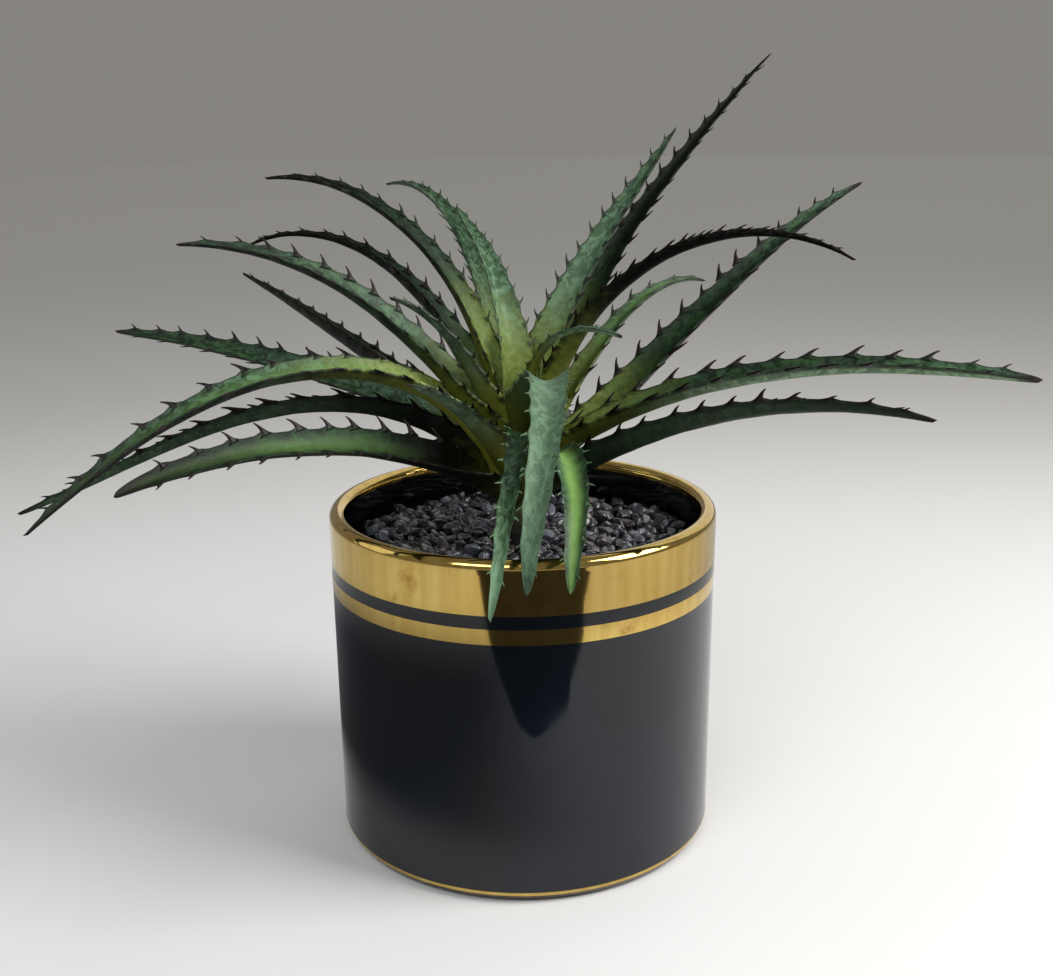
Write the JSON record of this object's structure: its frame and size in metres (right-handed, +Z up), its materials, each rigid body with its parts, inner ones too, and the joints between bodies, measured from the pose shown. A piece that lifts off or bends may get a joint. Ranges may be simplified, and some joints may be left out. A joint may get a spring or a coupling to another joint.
{
  "type": "potted aloe plant",
  "caption": "Low rosette of narrow arching leaves with spiny toothed edges on a short stem, set in dark gravel in a round black glazed pot with gilt bands.",
  "frame": {"origin": "centre of the pot's flat base, on the surface it stands on", "axes": "+Z up along the pot's axis, +X to the viewer's right when the drooping front leaves face the viewer, -Y towards the viewer"},
  "size_m": [0.2949, 0.2231, 0.2406],
  "materials": {
    "pot_glaze": "gloss",
    "gilding": "polished",
    "soil": "matte",
    "gravel": "satin",
    "stem": "matte",
    "leaf": "satin"
  },
  "bodies": {
    "root": {"pot": "pot_glaze", "soil": "soil", "gravel": "gravel", "stem": "stem", "leaf_left_01": "leaf", "leaf_left_02": "leaf", "leaf_left_03": "leaf", "leaf_left_04": "leaf", "leaf_left_05": "leaf", "leaf_left_06": "leaf", "leaf_left_07": "leaf", "leaf_left_08": "leaf", "leaf_left_09": "leaf", "leaf_left_10": "leaf", "leaf_left_11": "leaf", "leaf_left_12": "leaf", "leaf_front_01": "leaf", "leaf_front_02": "leaf", "leaf_front_03": "leaf", "leaf_right_01": "leaf", "leaf_right_02": "leaf", "leaf_right_03": "leaf", "leaf_right_04": "leaf", "leaf_right_05": "leaf", "leaf_right_06": "leaf", "leaf_right_07": "leaf", "leaf_right_08": "leaf", "leaf_right_09": "leaf", "leaf_rear_01": "leaf", "leaf_rear_02": "leaf", "leaf_rear_03": "leaf"}
  },
  "joints": []
}
